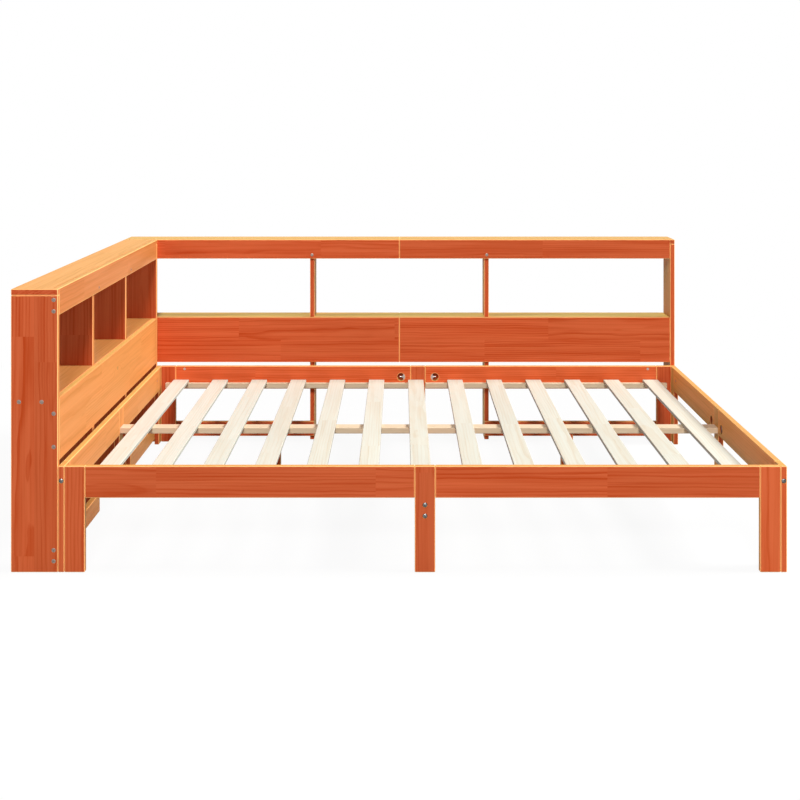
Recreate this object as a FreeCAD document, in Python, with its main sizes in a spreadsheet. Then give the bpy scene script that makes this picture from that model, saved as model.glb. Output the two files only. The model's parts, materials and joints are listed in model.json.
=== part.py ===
import FreeCAD, Part
import Sketcher
import os
import re

# A bed frame of pine boards with a bookcase along its head end and another along its rear side.
# The frame is centred on the whole outline, stands on z = 0, and has +X towards the foot, +Y to the rear.

doc = FreeCAD.newDocument("bed_with_bookcases")
sheet = doc.addObject("Spreadsheet::Sheet", "sizes")

# Driving sizes in millimetres: name, value, meaning
SIZES = [
    ("board", 18, "thickness of every stained board"),
    ("edge_radius", 3, "rounding on the edges of stained boards"),
    ("frame_length", 2059, "bed frame, head to foot, outside"),
    ("frame_width", 1455, "bed frame, front to rear, outside"),
    ("frame_height", 300, "floor to the top of rails and legs"),
    ("rail_height", 90, "height of every rail"),
    ("leg_face", 58, "width of a corner leg's face board"),
    ("leg_side", 62, "width of a corner leg's side board"),
    ("middle_leg", 58, "width of the legs between rail halves"),
    ("middle_offset", 7, "middle legs stand this far from the frame's middle, towards the foot"),
    ("case_depth", 133, "depth of both bookcases"),
    ("case_height", 800, "floor to the top of both bookcases"),
    ("apron_height", 76, "board in front of the top's edge, level with its upper face"),
    ("backrest_height", 178, "board in front of the shelf"),
    ("shelf_height", 490, "floor to the upper face of the shelves"),
    ("stretcher_height", 58, "low boards in the outer bays"),
    ("stretcher_lift", 18, "floor to the low boards"),
    ("rear_bay", 348, "seam to a rear divider's middle"),
    ("slot_play", 0.4, "room in the halving joints of shelf and divider"),
    ("slat_count", 13, "slats across the bed"),
    ("slat_width", 61, "width of a slat"),
    ("slat_thick", 11, "thickness of a slat"),
    ("slat_margin", 100.5, "frame end to the middle of the first slat, before the shift"),
    ("slat_shift", 2, "all slats lie this far from even spacing, towards the head"),
    ("slat_gap", 2, "slat end to rail"),
    ("slat_radius", 2, "rounding on raw pine edges"),
    ("ledger_high", 20, "height of the ledgers and the middle beam"),
    ("ledger_thick", 18, "thickness of the ledgers"),
    ("ledger_drop", 64, "rail tops to the underside of the slats"),
    ("ledger_gap", 20, "ledger end to the end rail"),
    ("beam_wide", 50, "width of the middle beam"),
    ("beam_leg_wide", 40, "beam leg along the bed"),
    ("beam_leg_deep", 28, "beam leg across the bed"),
    ("beam_leg_reach", 496, "beam leg's distance from the middle legs' line"),
    ("cross_beam_height", 90, "height of the cross beam"),
    ("screw_radius", 2.5, "case screw shank"),
    ("screw_head", 6, "case screw head radius"),
    ("screw_head_high", 3, "case screw head height"),
    ("screw_long", 60, "case screw length"),
    ("screw_edge", 12, "case front to the screws in the front boards' ends"),
    ("apron_screw_lift", 15, "apron's lower edge to the screw in front of a divider"),
    ("apron_screw_step", 16, "middle of the apron below the top to each end screw"),
    ("backrest_screw_step", 47, "backrest's middle to each end screw"),
    ("stretcher_screw_step", 15.5, "stretcher's middle to each end screw"),
    ("shelf_screw_back", 23, "case back to the first shelf screw"),
    ("shelf_screw_front", 87, "case back to the second shelf screw"),
    ("bolt_radius", 3, "bolt and tie rod shank"),
    ("bolt_head", 7, "bolt head radius"),
    ("bolt_head_high", 4, "bolt head height"),
    ("end_bolt_drop", 42, "rail tops to the bolts that hold the end rails"),
    ("side_bolt_drop", 11, "rail tops to the bolts that hold the side rails"),
    ("cross_bolt_upper", 26, "cross beam's top to its upper bolts"),
    ("cross_bolt_lower", 57, "cross beam's top to its lower bolts"),
    ("nut_setback", 35, "joint to the middle of a cross nut"),
    ("nut_radius", 5, "cross nut radius"),
    ("nut_long", 14, "cross nut length"),
    ("bolt_tail", 9, "bolt length beyond its cross nut's middle"),
    ("side_rod_drop", 43, "rail tops to the tie rods in front and rear rails"),
    ("end_rod_drop", 60, "rail tops to the tie rods in head and foot rails"),
    ("pocket_radius", 15, "round pocket for a tie rod's nut"),
    ("pocket_deep", 16, "depth of that pocket"),
    ("pocket_setback", 37.5, "middle leg to the middle of the pocket"),
    ("hex_radius", 5.8, "tie rod nut, across its corners, halved"),
    ("hex_high", 5, "tie rod nut height"),
    ("moon_thick", 7, "half-moon washer, from the pocket's wall to its flat"),
    ("moon_long", 12, "half-moon washer along the pocket's depth"),
    ("rod_tail", 8, "tie rod length beyond its nut"),
    ("dowel_radius", 4, "wooden dowel radius"),
    ("dowel_shallow", 12, "dowel length in a board's face"),
    ("dowel_deep", 18, "dowel length in a board's edge"),
    ("fit_play", 0.1, "room around fasteners in their holes"),
    ("dowel_inset", 30, "case front or back to a top dowel"),
]
for row, (alias, value, meaning) in enumerate(SIZES, start=1):
    sheet.set(f"A{row}", meaning)
    sheet.set(f"B{row}", str(value))
    sheet.setAlias(f"B{row}", alias)
doc.recompute()


def bound(formula):
    """A formula in plain size names, made to read the sheet."""
    return re.sub(r"[a-z_]+", lambda word: "sizes." + word.group(0), formula)


def number(formula):
    """What a formula comes to with the sheet's present values."""
    return float(sheet.evalExpression(bound(formula)))


# Planes that the pieces share
HEAD = "((case_depth - frame_length)/2)"
FOOT = "((case_depth + frame_length)/2)"
LEFT = "(-(case_depth + frame_length)/2)"
FRONT = "(-(case_depth + frame_width)/2)"
REAR = "((frame_width - case_depth)/2)"
BACK = "((case_depth + frame_width)/2)"
MIDDLE_X = "(case_depth/2 + middle_offset)"
MIDDLE_Y = "(-case_depth/2)"
LEG_LEFT = f"({MIDDLE_X} - middle_leg/2)"
LEG_RIGHT = f"({MIDDLE_X} + middle_leg/2)"
LEG_NEAR = f"({MIDDLE_Y} - middle_leg/2)"
LEG_FAR = f"({MIDDLE_Y} + middle_leg/2)"
SIDE_RAIL_LEFT = f"({HEAD} + board + leg_face)"
SIDE_RAIL_RIGHT = f"({FOOT} - board - leg_face)"
END_RAIL_NEAR = f"({FRONT} + leg_side)"
END_RAIL_FAR = f"({REAR} - leg_side)"
RAIL_FOOT = "(frame_height - rail_height)"
TOP_FOOT = "(case_height - board)"
APRON_FOOT = "(case_height - apron_height)"
BACKREST_FOOT = "(shelf_height - backrest_height)"
SHELF_FOOT = "(shelf_height - board)"
SHELF_DEEP = "(case_depth - board)"
LEDGER_TOP = "(frame_height - ledger_drop)"
LEDGER_FOOT = f"({LEDGER_TOP} - ledger_high)"
CROSS_FOOT = f"({LEDGER_FOOT} - cross_beam_height)"
HEAD_BAY = "((frame_width - 4*board)/3)"
HEAD_DIVIDER_NEAR = f"({FRONT} + board + {HEAD_BAY})"
HEAD_DIVIDER_FAR = f"({FRONT} + 2*board + 2*{HEAD_BAY})"
REAR_DIVIDER_LEFT = "(-rear_bay - board/2)"
REAR_DIVIDER_RIGHT = "(rear_bay - board/2)"
HALVED = f"({SHELF_DEEP}/2 + slot_play/2)"

AXES = {"x": FreeCAD.Vector(1, 0, 0), "y": FreeCAD.Vector(0, 1, 0), "z": FreeCAD.Vector(0, 0, 1)}


def place(thing, spot):
    """Ties an object's place to three formulas."""
    for axis, formula in zip("xyz", spot):
        thing.setExpression(f"Placement.Base.{axis}", bound(formula))


def draw(body, plane, corners):
    """Sketches a closed outline on one of a body's own planes, each corner held by two formulas."""
    sketch = body.newObject("Sketcher::SketchObject", body.Name + "_outline")
    support = [feature for feature in body.Origin.OriginFeatures if feature.Role == plane][0]
    sketch.AttachmentSupport = [(support, "")]
    sketch.MapMode = "FlatFace"
    points = [FreeCAD.Vector(number(across), number(up), 0) for across, up in corners]
    count = len(points)
    for index in range(count):
        sketch.addGeometry(Part.LineSegment(points[index], points[(index + 1) % count]), False)
    for index in range(count):
        sketch.addConstraint(Sketcher.Constraint("Coincident", index, 2, (index + 1) % count, 1))
    for index, corner in enumerate(corners):
        for kind, axis_line, formula in (("DistanceX", -2, corner[0]), ("DistanceY", -1, corner[1])):
            if formula == "0":
                sketch.addConstraint(Sketcher.Constraint("PointOnObject", index, 1, axis_line))
            else:
                measure = Sketcher.Constraint(kind, -1, 1, index, 1, number(formula))
                held = sketch.addConstraint(measure)
                sketch.setExpression(f"Constraints[{held}]", bound(formula))
    return sketch


def plank(name, low, high, radius="edge_radius"):
    """A board between two corners, sketched on its large face, with all its edges rounded."""
    sizes = [f"({top}) - ({bottom})" for bottom, top in zip(low, high)]
    thin = min(range(3), key=lambda axis: number(sizes[axis]))
    plane = ("YZ_Plane", "XZ_Plane", "XY_Plane")[thin]
    across, up = [size for axis, size in enumerate(sizes) if axis != thin]
    body = doc.addObject("PartDesign::Body", name)
    sketch = draw(body, plane, [("0", "0"), (across, "0"), (across, up), ("0", up)])
    pad = body.newObject("PartDesign::Pad", name + "_pad")
    pad.Profile = sketch
    pad.setExpression("Length", bound(sizes[thin]))
    pad.Reversed = plane == "XZ_Plane"
    rounded = body.newObject("PartDesign::Fillet", name + "_rounding")
    rounded.Base = (pad, [""])
    rounded.UseAllEdges = True
    rounded.setExpression("Radius", bound(radius))
    body.Tip = rounded
    place(body, low)
    cuts[name] = []
    return body


def turned(name, profile):
    """A round piece about its own Z axis from a half outline of radius and height formulas."""
    body = doc.addObject("PartDesign::Body", name)
    sketch = draw(body, "XZ_Plane", profile)
    turn = body.newObject("PartDesign::Revolution", name + "_turn")
    turn.Profile = sketch
    turn.ReferenceAxis = (sketch, ["V_Axis"])
    body.Tip = turn
    return body


def stepped(shank, length, head, head_high):
    """Half outline of a pin with a head whose face is at the origin and a shank that runs along +Z."""
    return [("0", "0"), (head, "0"), (head, head_high), (shank, head_high), (shank, length), ("0", length)]


def straight(radius, length):
    """Half outline of a plain pin along +Z."""
    return [("0", "0"), (radius, "0"), (radius, length), ("0", length)]


def copy(pattern, name, spot, way):
    """One placed copy of a pattern, turned so that its +Z points along a way such as +X or -Y."""
    link = doc.addObject("App::Link", name)
    link.LinkedObject = pattern
    pointing = AXES[way[1].lower()] * (1 if way[0] == "+" else -1)
    link.Placement = FreeCAD.Placement(FreeCAD.Vector(), FreeCAD.Rotation(AXES["z"], pointing))
    place(link, spot)
    return link


def fasten(group, piece, bore, spot, way, boards):
    """Sets a fastener, and drills its hole in each board that it passes through."""
    serial = len(groups[group])
    groups[group].append(copy(piece, f"{group}_{serial}", spot, way))
    for name in boards:
        cuts[name].append(copy(bore, f"{group}_bore_{serial}_{name}", spot, way))


def block(name, low, high):
    """A square-edged cutter between two corners."""
    cutter = doc.addObject("Part::Box", name)
    for side, bottom, top in zip(("Length", "Width", "Height"), low, high):
        cutter.setExpression(side, bound(f"({top}) - ({bottom})"))
    place(cutter, low)
    return cutter


def shifted(spot, axis, amount):
    """A spot moved along one axis by a formula."""
    moved = list(spot)
    moved["xyz".index(axis)] = f"{spot['xyz'.index(axis)]} + ({amount})"
    return moved


cuts = {}
groups = {"case_screws": [], "corner_bolts": [], "tie_rods": [], "dowels": []}
joined = {}

# Rails, in halves on each side of the middle legs
for side, low_y, high_y in (("front", FRONT, f"{FRONT} + board"), ("rear", f"{REAR} - board", REAR)):
    plank(f"{side}_rail_left", (SIDE_RAIL_LEFT, low_y, RAIL_FOOT), (LEG_LEFT, high_y, "frame_height"))
    plank(f"{side}_rail_right", (LEG_RIGHT, low_y, RAIL_FOOT), (SIDE_RAIL_RIGHT, high_y, "frame_height"))
    plank(f"middle_leg_{side}", (LEG_LEFT, low_y, "0"), (LEG_RIGHT, high_y, "frame_height"))
for end, low_x, high_x in (("head", HEAD, f"{HEAD} + board"), ("foot", f"{FOOT} - board", FOOT)):
    plank(f"{end}_rail_front", (low_x, END_RAIL_NEAR, RAIL_FOOT), (high_x, LEG_NEAR, "frame_height"))
    plank(f"{end}_rail_rear", (low_x, LEG_FAR, RAIL_FOOT), (high_x, END_RAIL_FAR, "frame_height"))
    plank(f"middle_leg_{end}", (low_x, LEG_NEAR, "0"), (high_x, LEG_FAR, "frame_height"))

# Corner legs, each a face board against the inside of a side board
for side, low_y, high_y, side_low, side_high in (
    ("front", FRONT, f"{FRONT} + board", FRONT, END_RAIL_NEAR),
    ("rear", f"{REAR} - board", REAR, END_RAIL_FAR, REAR),
):
    plank(f"face_{side}_left", (f"{HEAD} + board", low_y, "0"), (SIDE_RAIL_LEFT, high_y, "frame_height"))
    plank(f"face_{side}_right", (SIDE_RAIL_RIGHT, low_y, "0"), (f"{FOOT} - board", high_y, "frame_height"))
    plank(f"side_{side}_left", (HEAD, side_low, "0"), (f"{HEAD} + board", side_high, "frame_height"))
    plank(f"side_{side}_right", (f"{FOOT} - board", side_low, "0"), (FOOT, side_high, "frame_height"))
    for hand in ("left", "right"):
        joined[f"corner_leg_{side}_{hand}"] = [f"face_{side}_{hand}", f"side_{side}_{hand}"]

# Slats on ledgers and on the middle beam
slat_total = int(number("slat_count"))
slat_step = "((frame_length - 2*slat_margin)/(slat_count - 1))"
for index in range(slat_total):
    slat_left = f"{HEAD} + slat_margin - slat_shift - slat_width/2 + {slat_step}*{index}"
    plank(
        f"slat_{index + 1:02d}",
        (slat_left, f"{FRONT} + board + slat_gap", LEDGER_TOP),
        (f"{slat_left} + slat_width", f"{REAR} - board - slat_gap", f"{LEDGER_TOP} + slat_thick"),
        "slat_radius",
    )
for side, low_y, high_y in (
    ("front", f"{FRONT} + board", f"{FRONT} + board + ledger_thick"),
    ("rear", f"{REAR} - board - ledger_thick", f"{REAR} - board"),
):
    ledger_left = (f"{HEAD} + board + ledger_gap", low_y, LEDGER_FOOT)
    plank(f"{side}_ledger_left", ledger_left, (LEG_LEFT, high_y, LEDGER_TOP), "slat_radius")
    ledger_right = (f"{FOOT} - board - ledger_gap", high_y, LEDGER_TOP)
    plank(f"{side}_ledger_right", (LEG_RIGHT, low_y, LEDGER_FOOT), ledger_right, "slat_radius")
joined["slat_ledgers"] = [f"{side}_ledger_{hand}" for side in ("front", "rear") for hand in ("left", "right")]

BEAM_NEAR = f"{MIDDLE_Y} - beam_wide/2"
BEAM_FAR = f"{MIDDLE_Y} + beam_wide/2"
beam_start = (f"{HEAD} + board", BEAM_NEAR, LEDGER_FOOT)
plank("middle_beam_left", beam_start, (MIDDLE_X, BEAM_FAR, LEDGER_TOP), "slat_radius")
beam_end = (f"{FOOT} - board", BEAM_FAR, LEDGER_TOP)
plank("middle_beam_right", (MIDDLE_X, BEAM_NEAR, LEDGER_FOOT), beam_end, "slat_radius")
plank(
    "cross_beam",
    (f"{MIDDLE_X} - board/2", f"{FRONT} + board", CROSS_FOOT),
    (f"{MIDDLE_X} + board/2", f"{REAR} - board", LEDGER_FOOT),
)
for hand, sign in (("left", "-"), ("right", "+")):
    leg_middle = f"{MIDDLE_X} {sign} beam_leg_reach"
    plank(
        f"beam_leg_{hand}",
        (f"{leg_middle} - beam_leg_wide/2", f"{MIDDLE_Y} - beam_leg_deep/2", "0"),
        (f"{leg_middle} + beam_leg_wide/2", f"{MIDDLE_Y} + beam_leg_deep/2", LEDGER_FOOT),
    )
joined["beam_legs"] = ["beam_leg_left", "beam_leg_right"]

# Bookcase along the rear, in two halves that meet at a seam
RIGHT = FOOT
plank("rear_panel_left", (LEFT, REAR, "0"), (f"{LEFT} + board", BACK, TOP_FOOT))
plank("rear_panel_right", (f"{RIGHT} - board", REAR, "0"), (RIGHT, BACK, TOP_FOOT))
for hand, low_x, high_x, top_low, top_high in (
    ("left", f"{LEFT} + board", "0", LEFT, "0"),
    ("right", "0", f"{RIGHT} - board", "0", RIGHT),
):
    plank(f"rear_top_{hand}", (top_low, REAR, TOP_FOOT), (top_high, BACK, "case_height"))
    plank(f"rear_apron_{hand}", (low_x, REAR, APRON_FOOT), (high_x, f"{REAR} + board", "case_height"))
    plank(f"rear_backrest_{hand}", (low_x, REAR, BACKREST_FOOT), (high_x, f"{REAR} + board", "shelf_height"))
    plank(f"rear_shelf_{hand}", (low_x, f"{REAR} + board", SHELF_FOOT), (high_x, BACK, "shelf_height"))
for hand, low_x in (("left", REAR_DIVIDER_LEFT), ("right", REAR_DIVIDER_RIGHT)):
    plank(f"rear_divider_{hand}", (low_x, f"{REAR} + board", "0"), (f"{low_x} + board", BACK, TOP_FOOT))
for hand, low_x, high_x in (
    ("left", f"{LEFT} + board", f"{REAR_DIVIDER_LEFT} + board"),
    ("right", REAR_DIVIDER_RIGHT, f"{RIGHT} - board"),
):
    stretcher_high = (high_x, f"{REAR} + board", "stretcher_lift + stretcher_height")
    plank(f"rear_stretcher_{hand}", (low_x, REAR, "stretcher_lift"), stretcher_high)
joined["rear_stretchers"] = ["rear_stretcher_left", "rear_stretcher_right"]

# Bookcase along the head end, between the front and the rear bookcase
INNER_NEAR = f"{FRONT} + board"
INNER_FAR = f"{REAR} - board"
plank("head_panel_front", (LEFT, FRONT, "0"), (HEAD, INNER_NEAR, TOP_FOOT))
plank("head_panel_rear", (LEFT, INNER_FAR, "0"), (HEAD, REAR, TOP_FOOT))
plank("head_top", (LEFT, FRONT, TOP_FOOT), (HEAD, REAR, "case_height"))
plank("head_apron", (f"{HEAD} - board", INNER_NEAR, APRON_FOOT), (HEAD, INNER_FAR, "case_height"))
plank("head_backrest", (f"{HEAD} - board", INNER_NEAR, BACKREST_FOOT), (HEAD, INNER_FAR, "shelf_height"))
plank("head_shelf", (LEFT, INNER_NEAR, SHELF_FOOT), (f"{HEAD} - board", INNER_FAR, "shelf_height"))
for reach, low_y in (("front", HEAD_DIVIDER_NEAR), ("rear", HEAD_DIVIDER_FAR)):
    plank(f"head_divider_{reach}", (LEFT, low_y, "0"), (f"{HEAD} - board", f"{low_y} + board", TOP_FOOT))
for reach, low_y, high_y in (
    ("front", INNER_NEAR, f"{HEAD_DIVIDER_NEAR} + board"),
    ("rear", HEAD_DIVIDER_FAR, INNER_FAR),
):
    stretcher_high = (HEAD, high_y, "stretcher_lift + stretcher_height")
    plank(f"head_stretcher_{reach}", (f"{HEAD} - board", low_y, "stretcher_lift"), stretcher_high)
joined["head_stretchers"] = ["head_stretcher_front", "head_stretcher_rear"]

# Each top is notched between the end panels, and its apron stands in the notch
BEYOND = "board"
NOTCH_LOW = f"{TOP_FOOT} - {BEYOND}"
NOTCH_HIGH = f"case_height + {BEYOND}"
for hand, low_x, high_x in (("left", f"{LEFT} + board", BEYOND), ("right", f"-{BEYOND}", f"{RIGHT} - board")):
    cuts[f"rear_top_{hand}"].append(block(
        f"rear_top_notch_{hand}",
        (low_x, f"{REAR} - {BEYOND}", NOTCH_LOW),
        (high_x, f"{REAR} + board", NOTCH_HIGH),
    ))
cuts["head_top"].append(block(
    "head_top_notch",
    (f"{HEAD} - board", INNER_NEAR, NOTCH_LOW),
    (f"{HEAD} + {BEYOND}", INNER_FAR, NOTCH_HIGH),
))

# Halving joints: each shelf is slotted from the back and each divider from the front
SLOT_LOW = f"{SHELF_FOOT} - slot_play/2"
SLOT_HIGH = "shelf_height + slot_play/2"
for hand, low_x in (("left", REAR_DIVIDER_LEFT), ("right", REAR_DIVIDER_RIGHT)):
    cuts[f"rear_shelf_{hand}"].append(block(
        f"rear_shelf_slot_{hand}",
        (f"{low_x} - slot_play/2", f"{BACK} - {HALVED}", f"{SHELF_FOOT} - {BEYOND}"),
        (f"{low_x} + board + slot_play/2", f"{BACK} + {BEYOND}", f"shelf_height + {BEYOND}"),
    ))
    cuts[f"rear_divider_{hand}"].append(block(
        f"rear_divider_slot_{hand}",
        (f"{low_x} - {BEYOND}", REAR, SLOT_LOW),
        (f"{low_x} + board + {BEYOND}", f"{REAR} + board + {HALVED}", SLOT_HIGH),
    ))
for reach, low_y in (("front", HEAD_DIVIDER_NEAR), ("rear", HEAD_DIVIDER_FAR)):
    cuts["head_shelf"].append(block(
        f"head_shelf_slot_{reach}",
        (f"{LEFT} - {BEYOND}", f"{low_y} - slot_play/2", f"{SHELF_FOOT} - {BEYOND}"),
        (f"{LEFT} + {HALVED}", f"{low_y} + board + slot_play/2", f"shelf_height + {BEYOND}"),
    ))
    cuts[f"head_divider_{reach}"].append(block(
        f"head_divider_slot_{reach}",
        (f"{HEAD} - board - {HALVED}", f"{low_y} - {BEYOND}", SLOT_LOW),
        (HEAD, f"{low_y} + board + {BEYOND}", SLOT_HIGH),
    ))

# Case screws through the end panels and the aprons
screw = turned("screw_pattern", stepped("screw_radius", "screw_long", "screw_head", "screw_head_high"))
screw_bore = turned("screw_bore_pattern", stepped(
    "screw_radius + fit_play", "screw_long + fit_play",
    "screw_head + fit_play", "screw_head_high + fit_play"))
APRON_MIDDLE = f"(({APRON_FOOT} + {TOP_FOOT})/2)"
BACKREST_MIDDLE = f"({BACKREST_FOOT} + backrest_height/2)"
STRETCHER_MIDDLE = "(stretcher_lift + stretcher_height/2)"
SHELF_MIDDLE = "(shelf_height - board/2)"
FACE_ROWS = (
    ("apron", APRON_MIDDLE, "apron_screw_step"),
    ("backrest", BACKREST_MIDDLE, "backrest_screw_step"),
    ("stretcher", STRETCHER_MIDDLE, "stretcher_screw_step"),
)
for reach, face_y, way in (("front", FRONT, "+Y"), ("rear", REAR, "-Y")):
    panel = f"head_panel_{reach}"
    for part_name, level, step in FACE_ROWS:
        held = f"head_{part_name}_{reach}" if part_name == "stretcher" else f"head_{part_name}"
        for sign in ("+", "-"):
            spot = (f"{HEAD} - screw_edge", face_y, f"{level} {sign} {step}")
            fasten("case_screws", screw, screw_bore, spot, way, [panel, held])
    for inset in ("shelf_screw_back", "shelf_screw_front"):
        spot = (f"{LEFT} + {inset}", face_y, SHELF_MIDDLE)
        fasten("case_screws", screw, screw_bore, spot, way, [panel, "head_shelf"])
for hand, face_x, way in (("left", LEFT, "+X"), ("right", RIGHT, "-X")):
    panel = f"rear_panel_{hand}"
    for part_name, level, step in FACE_ROWS:
        for sign in ("+", "-"):
            spot = (face_x, f"{REAR} + screw_edge", f"{level} {sign} {step}")
            fasten("case_screws", screw, screw_bore, spot, way, [panel, f"rear_{part_name}_{hand}"])
    for inset in ("shelf_screw_back", "shelf_screw_front"):
        spot = (face_x, f"{BACK} - {inset}", SHELF_MIDDLE)
        fasten("case_screws", screw, screw_bore, spot, way, [panel, f"rear_shelf_{hand}"])
APRON_SCREW = f"{APRON_FOOT} + apron_screw_lift"
for hand, middle in (("left", "-rear_bay"), ("right", "rear_bay")):
    boards = [f"rear_apron_{hand}", f"rear_divider_{hand}"]
    fasten("case_screws", screw, screw_bore, (middle, REAR, APRON_SCREW), "+Y", boards)
for reach, low_y in (("front", HEAD_DIVIDER_NEAR), ("rear", HEAD_DIVIDER_FAR)):
    boards = ["head_apron", f"head_divider_{reach}"]
    spot = (HEAD, f"{low_y} + board/2", APRON_SCREW)
    fasten("case_screws", screw, screw_bore, spot, "-X", boards)

# Bolts with cross nuts: end rails through the side boards, side rails through both leg boards, cross beam
END_BOLT = "(frame_height - end_bolt_drop)"
SIDE_BOLT = "(frame_height - side_bolt_drop)"


def bolt_set(name, reach):
    """A bolt whose cross nut lies at a given reach from its head, and the bolt's hole."""
    long = f"{reach} + nut_setback + bolt_tail"
    bolt = turned(name + "_pattern", stepped("bolt_radius", long, "bolt_head", "bolt_head_high"))
    bore = turned(name + "_bore_pattern", stepped(
        "bolt_radius + fit_play", f"{long} + fit_play",
        "bolt_head + fit_play", "bolt_head_high + fit_play"))
    return bolt, bore


nut_blank = turned("nut_blank", straight("nut_radius", "nut_long"))
nut_thread = doc.addObject("Part::Cylinder", "nut_thread")
nut_thread.setExpression("Radius", bound("bolt_radius + fit_play"))
nut_thread.setExpression("Height", bound("4*nut_radius"))
nut_thread.Placement = FreeCAD.Placement(FreeCAD.Vector(), FreeCAD.Rotation(AXES["z"], AXES["x"]))
place(nut_thread, ("-2*nut_radius", "0", "board/2"))
nut = doc.addObject("Part::Cut", "nut_pattern")
nut.Base = nut_blank
nut.Tool = nut_thread
nut_bore = turned("nut_bore_pattern", straight("nut_radius + fit_play", "nut_long + fit_play"))


def cross_nut(spot, way, along, board_name):
    """A cross nut sunk in a board's inner face, its thread along the bolt's axis."""
    serial = len(groups["corner_bolts"])
    piece = copy(nut, f"cross_nut_{serial}", spot, way)
    facing = AXES[way[1].lower()] * (1 if way[0] == "+" else -1)
    piece.Placement = FreeCAD.Placement(
        FreeCAD.Vector(), FreeCAD.Rotation(AXES[along], AXES["z"], facing, "ZXY"))
    place(piece, spot)
    groups["corner_bolts"].append(piece)
    cuts[board_name].append(copy(nut_bore, f"cross_nut_bore_{serial}", spot, way))


end_bolt, end_bolt_bore = bolt_set("end_bolt", "leg_side")
side_bolt, side_bolt_bore = bolt_set("side_bolt", "board + leg_face")
cross_bolt, cross_bolt_bore = bolt_set("cross_bolt", "board")
for side, face_y, way, sign in (("front", FRONT, "+Y", "+"), ("rear", REAR, "-Y", "-")):
    for hand, end, middle, inner, inner_way in (
        ("left", "head", f"{HEAD} + board/2", f"{HEAD} + board", "-X"),
        ("right", "foot", f"{FOOT} - board/2", f"{FOOT} - board", "+X"),
    ):
        rail = f"{end}_rail_{side}"
        spot = (middle, face_y, END_BOLT)
        fasten("corner_bolts", end_bolt, end_bolt_bore, spot, way, [f"side_{side}_{hand}", rail])
        nut_spot = (inner, f"{face_y} {sign} (leg_side + nut_setback)", END_BOLT)
        cross_nut(nut_spot, inner_way, "y", rail)
    for drop in ("cross_bolt_upper", "cross_bolt_lower"):
        level = f"{LEDGER_FOOT} - {drop}"
        spot = (MIDDLE_X, face_y, level)
        fasten("corner_bolts", cross_bolt, cross_bolt_bore, spot, way, [f"middle_leg_{side}", "cross_beam"])
        nut_spot = (f"{MIDDLE_X} - board/2", f"{face_y} {sign} (board + nut_setback)", level)
        cross_nut(nut_spot, "+X", "y", "cross_beam")
for hand, face_x, way, sign in (("left", HEAD, "+X", "+"), ("right", FOOT, "-X", "-")):
    for side, middle, inner, inner_way in (
        ("front", f"{FRONT} + board/2", f"{FRONT} + board", "-Y"),
        ("rear", f"{REAR} - board/2", f"{REAR} - board", "+Y"),
    ):
        rail = f"{side}_rail_{hand}"
        boards = [f"side_{side}_{hand}", f"face_{side}_{hand}", rail]
        spot = (face_x, middle, SIDE_BOLT)
        fasten("corner_bolts", side_bolt, side_bolt_bore, spot, way, boards)
        nut_spot = (f"{face_x} {sign} (board + leg_face + nut_setback)", inner, SIDE_BOLT)
        cross_nut(nut_spot, inner_way, "x", rail)

# Tie rods through the middle legs, with a half-moon washer and a nut in a round pocket at each end
NUT_SEAT = "(pocket_setback - pocket_radius + moon_thick)"
ROD_REACH = f"(middle_leg/2 + {NUT_SEAT} + hex_high + rod_tail)"
rod = turned("rod_pattern", straight("bolt_radius", f"2*{ROD_REACH}"))
rod_bore = turned("rod_bore_pattern", straight("bolt_radius + fit_play", f"2*{ROD_REACH}"))
hex_blank = doc.addObject("Part::Prism", "hex_blank")
hex_blank.Polygon = 6
hex_blank.setExpression("Circumradius", bound("hex_radius"))
hex_blank.setExpression("Height", bound("hex_high"))
hex_thread = doc.addObject("Part::Cylinder", "hex_thread")
hex_thread.setExpression("Radius", bound("bolt_radius + fit_play"))
hex_thread.setExpression("Height", bound("hex_high"))
hex_nut = doc.addObject("Part::Cut", "hex_pattern")
hex_nut.Base = hex_blank
hex_nut.Tool = hex_thread
pocket = turned("pocket_pattern", straight("pocket_radius", "pocket_deep"))
moon_blank = turned("moon_blank", straight("pocket_radius - fit_play", "moon_long"))
moon_flat = ("pocket_radius - moon_thick", "-pocket_radius", "0")
moon_keep = block("moon_keep", moon_flat, ("pocket_radius", "pocket_radius", "moon_long"))
moon_solid = doc.addObject("Part::Common", "moon_solid")
moon_solid.Base = moon_blank
moon_solid.Tool = moon_keep
moon_bore = doc.addObject("Part::Cylinder", "moon_bore")
moon_bore.setExpression("Radius", bound("bolt_radius + fit_play"))
moon_bore.setExpression("Height", bound("2*pocket_radius"))
moon_bore.Placement = FreeCAD.Placement(FreeCAD.Vector(), FreeCAD.Rotation(AXES["z"], AXES["x"]))
place(moon_bore, ("0", "0", "moon_long/2"))
moon = doc.addObject("Part::Cut", "moon_pattern")
moon.Base = moon_solid
moon.Tool = moon_bore


def half_moon(name, spot, towards_leg, way):
    """A half-moon washer about a pocket's axis, its round side towards the middle leg."""
    piece = copy(moon, name, spot, way)
    round_side = AXES[towards_leg[1]] * (1 if towards_leg[0] == "+" else -1)
    facing = AXES[way[1].lower()] * (1 if way[0] == "+" else -1)
    piece.Placement = FreeCAD.Placement(
        FreeCAD.Vector(), FreeCAD.Rotation(round_side, facing.cross(round_side), facing, "ZXY"))
    place(piece, spot)
    groups["tie_rods"].append(piece)


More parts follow.
